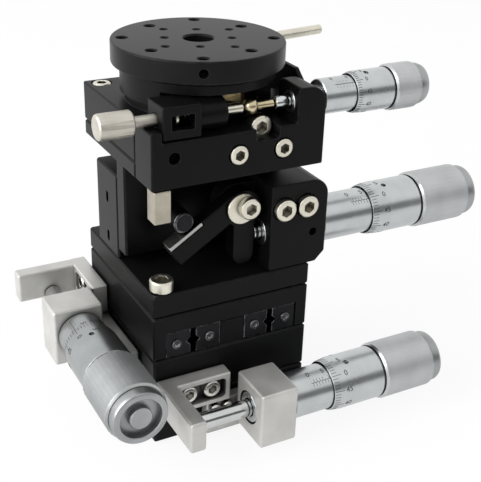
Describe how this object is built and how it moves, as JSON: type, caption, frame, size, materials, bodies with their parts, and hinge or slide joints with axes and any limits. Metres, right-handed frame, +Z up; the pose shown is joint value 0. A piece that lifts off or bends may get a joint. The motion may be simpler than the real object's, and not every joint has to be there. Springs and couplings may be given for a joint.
{
  "type": "xyz rotation positioning stage",
  "caption": "Compact manual positioning stage: crossed-roller X, Y and Z slides driven by micrometers, under a round rotary platform with a fine tangent drive.",
  "frame": {"origin": "centre of the base plate's underside", "axes": "+Z up through the rotary platform's axis, +X along the X micrometer towards its thimble, -Y along the Y micrometer towards its thimble"},
  "size_m": [0.1348, 0.0795, 0.1125],
  "materials": {
    "black": "black anodised, satin",
    "satin": "satin, clear anodised",
    "chrome": "satin chrome",
    "steel": "ground",
    "nickel": "nickel plated",
    "golden": "warm toned, satin"
  },
  "bodies": {
    "base": {"base_plate": "black", "x_mic_block": "satin", "x_rail_fixed_back": "steel", "x_rail_fixed_front": "steel", "x_sleeve": "chrome"},
    "x_cages": {"x_roller_cage_back": "steel", "x_roller_cage_front": "steel"},
    "x_screw": {"x_spindle": "chrome"},
    "x_dial": {"x_thimble": "chrome"},
    "x_carriage": {"middle_plate": "black", "x_anvil_bracket": "satin", "x_rail_moving_back": "steel", "x_rail_moving_front": "steel", "y_mic_block": "satin", "y_rail_fixed_left": "steel", "y_rail_fixed_right": "steel", "y_sleeve": "chrome"},
    "y_cages": {"y_roller_cage_left": "steel", "y_roller_cage_right": "steel"},
    "y_screw": {"y_spindle": "chrome"},
    "y_dial": {"y_thimble": "chrome"},
    "y_carriage": {"top_plate": "black", "y_rail_moving_left": "steel", "y_rail_moving_right": "steel", "y_anvil_bracket": "satin", "z_base_plate": "black", "z_corner_screw": "nickel", "z_column": "black", "z_mic_block": "black", "z_rail_fixed_left": "steel", "z_rail_fixed_right": "steel", "z_sleeve": "chrome", "lever_pivot": "nickel"},
    "z_cages": {"z_roller_cage_left": "steel", "z_roller_cage_right": "steel"},
    "z_screw": {"z_spindle": "chrome"},
    "z_dial": {"z_thimble": "chrome"},
    "bell_crank": {"z_lever": "black", "lever_wear_strip": "steel"},
    "z_carriage": {"z_slide_plate": "black", "z_rail_moving_left": "steel", "z_rail_moving_right": "steel", "lift_pin": "steel", "stop_post": "nickel", "rotary_base": "black", "front_bracket": "black", "bracket_screw_left": "nickel", "bracket_screw_right": "nickel", "bracket_screw_notch": "nickel", "plunger_housing": "black", "r_sleeve": "chrome"},
    "fine_screw": {"r_spindle": "chrome"},
    "fine_dial": {"r_thimble": "chrome"},
    "fine_arm": {"tangent_arm": "golden"},
    "plunger": {"plunger_rod": "nickel", "plunger_spring": "steel"},
    "turntable": {"platform": "black", "handle_rod": "nickel"},
    "seat": {"spring_seat": "nickel"},
    "thumb": {"thumbscrew": "nickel"}
  },
  "joints": [
    {"name": "x_thimble_spin", "type": "hinge", "parent": "x_screw", "child": "x_dial", "pos_m": [0.0238, -0.038, 0.014], "axis": [1, 0, 0], "range_deg": [-4690, 4690]},
    {"name": "x_spindle_travel", "type": "slide", "parent": "base", "child": "x_screw", "axis": [1, 0, 0], "range_m": [-0.00651, 0.00651]},
    {"name": "x_slide", "type": "slide", "parent": "base", "child": "x_carriage", "axis": [1, 0, 0], "range_m": [-0.0065, 0.0065]},
    {"name": "x_cage_travel", "type": "slide", "parent": "base", "child": "x_cages", "axis": [1, 0, 0], "range_m": [-0.00326, 0.00326]},
    {"name": "y_thimble_spin", "type": "hinge", "parent": "y_screw", "child": "y_dial", "pos_m": [-0.038, -0.008, 0.028], "axis": [0, 1, 0], "range_deg": [-4690, 4690]},
    {"name": "y_spindle_travel", "type": "slide", "parent": "x_carriage", "child": "y_screw", "axis": [0, 1, 0], "range_m": [-0.00651, 0.00651]},
    {"name": "y_slide", "type": "slide", "parent": "x_carriage", "child": "y_carriage", "axis": [0, 1, 0], "range_m": [-0.0065, 0.0065]},
    {"name": "y_cage_travel", "type": "slide", "parent": "x_carriage", "child": "y_cages", "axis": [0, 1, 0], "range_m": [-0.00326, 0.00326]},
    {"name": "z_thimble_spin", "type": "hinge", "parent": "z_screw", "child": "z_dial", "pos_m": [0.0471, -0.0172, 0.059], "axis": [1, 0, 0], "range_deg": [-1000, 1000]},
    {"name": "z_spindle_travel", "type": "slide", "parent": "y_carriage", "child": "z_screw", "axis": [1, 0, 0], "range_m": [-0.0014, 0.0014]},
    {"name": "lever_swing", "type": "hinge", "parent": "y_carriage", "child": "bell_crank", "pos_m": [0.0053, -0.0172, 0.0679], "axis": [0, 1, 0], "range_deg": [-9, 9]},
    {"name": "z_slide", "type": "slide", "parent": "y_carriage", "child": "z_carriage", "axis": [0, 0, 1], "range_m": [-0.00294, 0.00294]},
    {"name": "z_cage_travel", "type": "slide", "parent": "y_carriage", "child": "z_cages", "axis": [0, 0, 1], "range_m": [-0.0015, 0.0015]},
    {"name": "fine_thimble_spin", "type": "hinge", "parent": "fine_screw", "child": "fine_dial", "pos_m": [0.0375, -0.0195, 0.098], "axis": [1, 0, 0], "range_deg": [-1200, 1200]},
    {"name": "fine_spindle_travel", "type": "slide", "parent": "z_carriage", "child": "fine_screw", "axis": [1, 0, 0], "range_m": [-0.0017, 0.0017]},
    {"name": "fine_rotation", "type": "hinge", "parent": "z_carriage", "child": "fine_arm", "pos_m": [0, 0, 0.0962], "axis": [0, 0, 1], "range_deg": [-5, 5]},
    {"name": "plunger_travel", "type": "slide", "parent": "z_carriage", "child": "plunger", "axis": [1, 0, 0], "range_m": [-0.0017, 0.0017]},
    {"name": "platform_turn", "type": "hinge", "parent": "fine_arm", "child": "turntable", "pos_m": [0, 0, 0.0962], "axis": [0, 0, 1], "continuous": true},
    {"name": "thumbscrew_spin", "type": "hinge", "parent": "seat", "child": "thumb", "pos_m": [-0.0168, -0.0195, 0.098], "axis": [1, 0, 0], "range_deg": [-725, 725]},
    {"name": "seat_travel", "type": "slide", "parent": "z_carriage", "child": "seat", "axis": [1, 0, 0], "range_m": [-0.001, 0.001]}
  ],
  "couplings": [
    {"joint": "x_thimble_spin", "follows": "x_slide", "rad_per_m": 12566},
    {"joint": "x_spindle_travel", "follows": "x_slide", "ratio": 1},
    {"joint": "x_cage_travel", "follows": "x_slide", "ratio": 0.5},
    {"joint": "y_thimble_spin", "follows": "y_slide", "rad_per_m": 12566},
    {"joint": "y_spindle_travel", "follows": "y_slide", "ratio": 1},
    {"joint": "y_cage_travel", "follows": "y_slide", "ratio": 0.5},
    {"joint": "z_thimble_spin", "follows": "z_slide", "rad_per_m": -5924.2},
    {"joint": "z_spindle_travel", "follows": "z_slide", "ratio": -0.47143},
    {"joint": "lever_swing", "follows": "z_slide", "rad_per_m": 52.97},
    {"joint": "z_cage_travel", "follows": "z_slide", "ratio": 0.5},
    {"joint": "fine_spindle_travel", "follows": "fine_thimble_spin", "m_per_rad": 0.000079577},
    {"joint": "fine_rotation", "follows": "fine_thimble_spin", "ratio": 0.0040809},
    {"joint": "plunger_travel", "follows": "fine_thimble_spin", "m_per_rad": 0.000079577},
    {"joint": "thumbscrew_spin", "follows": "seat_travel", "rad_per_m": 12566}
  ]
}
